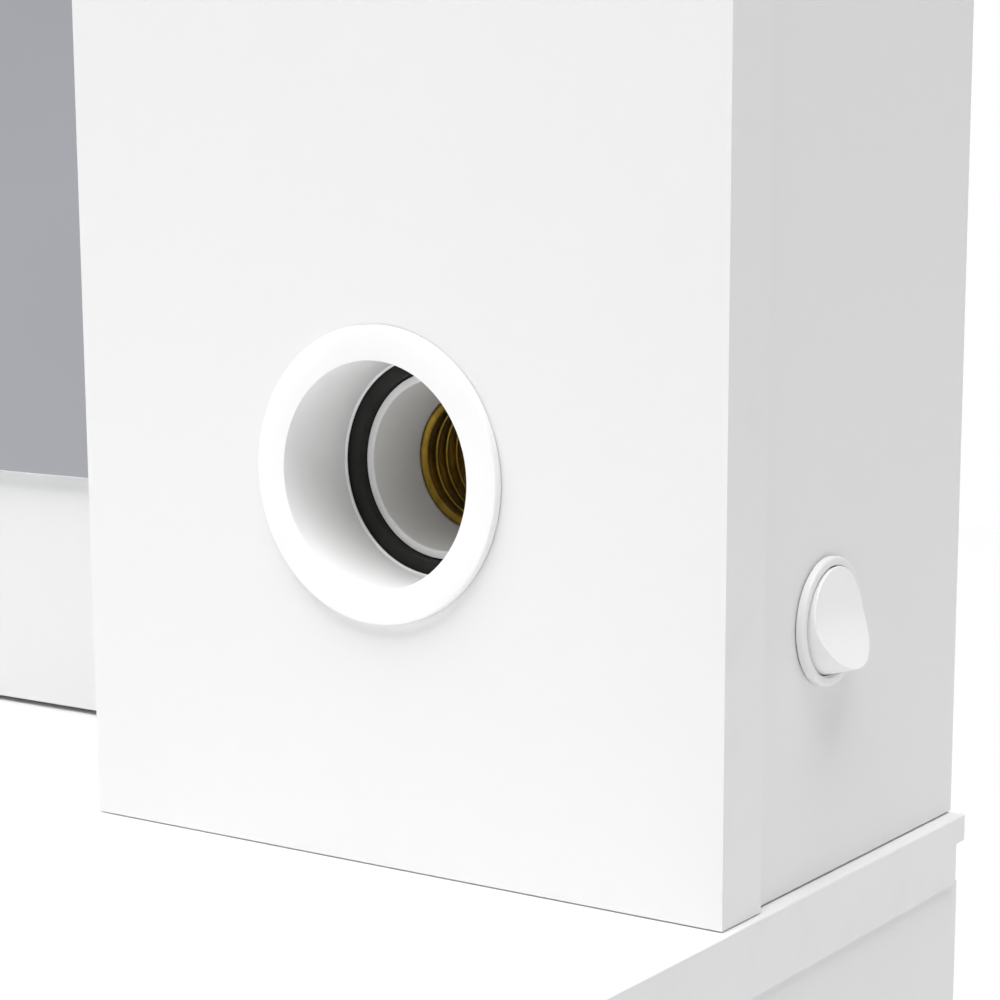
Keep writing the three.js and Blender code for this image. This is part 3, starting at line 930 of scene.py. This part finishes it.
class VANITY_OT_fittings(Operator):
    """Model the feet, cam covers, back nails and cable gland, and finish the parts inside the columns"""

    bl_idname = "vanity.fittings"
    bl_label = "Fittings"

    def execute(self, context):
        self.feet()
        self.cam_covers()
        self.nails()
        self.gland()
        for node, name in (("wiring_harness", "cable_sheath"), ("terminal_block", "block_plastic")):
            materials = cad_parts[node].data.materials
            materials.clear()
            materials.append(finish(name))
        return {"FINISHED"}

    def feet(self):
        """Nail-on glides, oval to fit the board's edge."""
        profile = in_metres([(2, 0.5), (3, 0), (8, 0), (9.4, 0.6), (10, 2), (10, 4)])
        for side, _ in SIDES:
            for end in ("front", "rear"):
                node = f"foot_glide_{end}_{side}"
                low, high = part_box(node)
                centre = (low + high) / 2
                glide = turned(node + "_moulded", profile, ("guide_plastic",), SMALL_FACETS)
                select(glide)
                glide.scale = ((high.x - low.x) / (2 * profile[-1][0]), 1, 1)
                glide.location = (centre.x, centre.y, low.z)
                settle()
                smooth(glide, 30)
                hand_over(glide, "table", "grey_plastic", node)

    def cam_covers(self):
        """Push-in covers over the cam fittings, under the drawer floor and on the stretcher's face."""
        floor_low, floor_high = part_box("drawer_compartment_floor")
        rail_low, rail_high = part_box("stretcher_panel")
        inset, from_end = 34 * MM, 35 * MM
        from_front, from_back = 60 * MM, 90 * MM
        covers = []
        for sign in (-1, 1):
            edge = floor_high.x if sign > 0 else floor_low.x
            x = edge - sign * inset
            covers += [(DOWN, (x, floor_low.y + from_front, floor_low.z)),
                       (DOWN, (x, floor_high.y - from_back, floor_low.z))]
            covers += [(FRONT, (x, rail_low.y, rail_low.z + from_end)),
                       (FRONT, (x, rail_low.y, rail_high.z - from_end))]
        pattern = turned("cover", in_metres(
            [(2, 0), (8.5, 0), (8.5, 0.5), (8.2, 0.9), (7.4, 1.1), (2.6, 1.2), (2.3, 0.9), (0.4, 0.9)]),
            ("trim_plastic",), SMALL_FACETS)
        smooth(pattern, 30)
        for number, (direction, place) in enumerate(covers, 1):
            cover = copy_to(pattern, f"cam_cover_{number}", (0, 0, 0))
            point_along(cover, direction, place)
            hand_over(cover, "table", "white_plastic")
        bpy.data.objects.remove(pattern)

    def nails(self):
        """Nail heads where each hardboard back lies on the edge of a board."""
        boards = {
            "table_back": (("end_panel_left", "end_panel_right"),
                           ("table_top", "drawer_compartment_floor", "stretcher_panel")),
            "mirror_unit_back": (("column_outer_side_left", "column_inner_side_left",
                                  "column_inner_side_right", "column_outer_side_right"), ()),
        }
        head_profile = in_metres([(2.6, 0), (2.6, 0.3), (2.0, 0.6), (0.4, 0.65)])
        pattern = turned("nail", head_profile, ("zinc",), HEAD_FACETS)
        for node, (uprights, levels) in boards.items():
            low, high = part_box(node)
            margin = Vector((4 * MM, 0, 4 * MM))
            low, high = low + margin, high - margin
            up, across = spaced(low.z, high.z, 6), spaced(low.x, high.x, 8)[1:-1]
            places = [(x, z) for x in self.middles(uprights, 0, low, high) for z in up]
            places += [(x, z) for z in self.middles(levels, 2, low, high) for x in across]
            heads = []
            for x, z in places:
                head = copy_to(pattern, "nail_head", (0, 0, 0))
                heads.append(point_along(head, BACK, (x, high.y, z)))
            nails = joined(f"{node}_nails", heads)
            smooth(nails, 30)
            hand_over(nails, "table", "knob_metal")
        bpy.data.objects.remove(pattern)

    def middles(self, nodes, axis, low, high):
        """The middle of each board on one axis, kept within two limits."""
        boxes = [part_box(node) for node in nodes]
        return [min(max((near[axis] + far[axis]) / 2, low[axis]), high[axis]) for near, far in boxes]

    def gland(self):
        """Snap-in cable entry with a rolled mouth."""
        low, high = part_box("cable_gland")
        centre = (low + high) / 2
        profile = (
            arc(4.4, 3.4, 0.6, 180, 90, 4) + arc(8.3, 3.3, 0.7, 90, 0, 4)
            + [(9, 3), (6, 3), (6, -5.4), (5.6, -6), (3.8, -6)]
        )
        gland = turned("cable_gland_moulded", in_metres(profile), ("gland_plastic",), SMALL_FACETS,
                       hollow=True)
        smooth(gland, 30)
        back_low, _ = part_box("mirror_unit_back")
        point_along(gland, BACK, (centre.x, back_low.y, centre.z))
        hand_over(gland, "table", "black_plastic", "cable_gland")


# ---------------------------------------------------------------- stage


class VANITY_OT_stage(Operator):
    """Lay the floor and set the light and the camera"""

    bl_idname = "vanity.stage"
    bl_label = "Stage"

    def execute(self, context):
        scene = context.scene
        settings = scene.vanity_stage
        object_mode()
        bpy.ops.mesh.primitive_circle_add(vertices=96, radius=6, fill_type="NGON")
        floor = started("floor", ("floor_paint",))

        bpy.ops.object.light_add(type="SUN", location=(-1, -3, 5))
        key = bpy.context.object
        key.data.energy = settings.key
        key.data.angle = settings.key_spread
        key.rotation_euler = Vector(settings.key_from).to_track_quat("Z", "Y").to_euler()
        self.sky(scene, settings)

        # The view is from the right, a little above the tabletop, on the right column's foot
        low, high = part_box("column_front_right")
        foot = Vector((high.x, low.y, low.z))
        bpy.ops.object.camera_add(location=foot + Vector(settings.view_from))
        camera = bpy.context.object
        camera.rotation_euler = (math.pi / 2 - settings.view_down, 0, settings.view_turn)
        camera.data.lens = settings.lens
        camera.data.sensor_width = 36
        camera.data.shift_x = -0.062
        camera.data.shift_y = 0.110
        camera.data.clip_start = 0.01
        camera.data.clip_end = 100
        scene.camera = camera
        scene.view_settings.view_transform = "Standard"
        return {"FINISHED"}

    def sky(self, scene, settings):
        """Soft light that fades from the horizon to overhead, in front of a white backdrop."""
        world = scene.world or bpy.data.worlds.new("studio")
        scene.world = world
        world.use_nodes = True
        nodes, links = world.node_tree.nodes, world.node_tree.links
        nodes.clear()
        light, backdrop = nodes.new("ShaderNodeBackground"), nodes.new("ShaderNodeBackground")
        height, fade = nodes.new("ShaderNodeSeparateXYZ"), nodes.new("ShaderNodeMapRange")
        links.new(nodes.new("ShaderNodeTexCoord").outputs["Generated"], height.inputs[0])
        links.new(height.outputs["Z"], fade.inputs["Value"])
        fade.inputs["To Min"].default_value = settings.sky_low
        fade.inputs["To Max"].default_value = settings.sky_high
        links.new(fade.outputs[0], light.inputs["Strength"])
        light.inputs["Color"].default_value = (1, 1, 1, 1)
        backdrop.inputs["Color"].default_value = (1, 1, 1, 1)
        mix, path = nodes.new("ShaderNodeMixShader"), nodes.new("ShaderNodeLightPath")
        output = nodes.new("ShaderNodeOutputWorld")
        links.new(path.outputs["Is Camera Ray"], mix.inputs[0])
        links.new(light.outputs[0], mix.inputs[1])
        links.new(backdrop.outputs[0], mix.inputs[2])
        links.new(mix.outputs[0], output.inputs["Surface"])


class VANITY_PT_panel(Panel):
    """Sizes, colours and the modelling steps"""

    bl_idname = "VANITY_PT_panel"
    bl_label = "Vanity table"
    bl_space_type = "VIEW_3D"
    bl_region_type = "UI"
    bl_category = "Vanity"

    def draw(self, context):
        for group in GROUPS:
            box = self.layout.box()
            settings = getattr(context.scene, group)
            for key in settings.bl_rna.properties.keys():
                if key not in ("rna_type", "name"):
                    box.prop(settings, key)
        for step in STEPS:
            self.layout.operator(step.bl_idname)


GROUPS = {
    "vanity_boards": VANITY_PG_boards,
    "vanity_sockets": VANITY_PG_sockets,
    "vanity_stage": VANITY_PG_stage,
}
STEPS = (
    VANITY_OT_stage,
    VANITY_OT_carcase,
    VANITY_OT_drawer,
    VANITY_OT_columns,
    VANITY_OT_mirror,
    VANITY_OT_sockets,
    VANITY_OT_switch,
    VANITY_OT_fittings,
)


def register():
    """Register the settings, the steps and the panel."""
    for item in (*GROUPS.values(), *STEPS, VANITY_PT_panel):
        bpy.utils.register_class(item)
    for name, group in GROUPS.items():
        setattr(bpy.types.Scene, name, PointerProperty(type=group))


def unregister():
    """Undo register."""
    for name in GROUPS:
        delattr(bpy.types.Scene, name)
    for item in reversed((*GROUPS.values(), *STEPS, VANITY_PT_panel)):
        bpy.utils.unregister_class(item)


def main():
    """Model every piece in order."""
    register()
    bpy.ops.vanity.stage()
    bpy.ops.vanity.carcase()
    bpy.ops.vanity.drawer()
    bpy.ops.vanity.columns()
    bpy.ops.vanity.mirror()
    bpy.ops.vanity.sockets()
    bpy.ops.vanity.switch()
    bpy.ops.vanity.fittings()


if __name__ == "__main__":
    main()
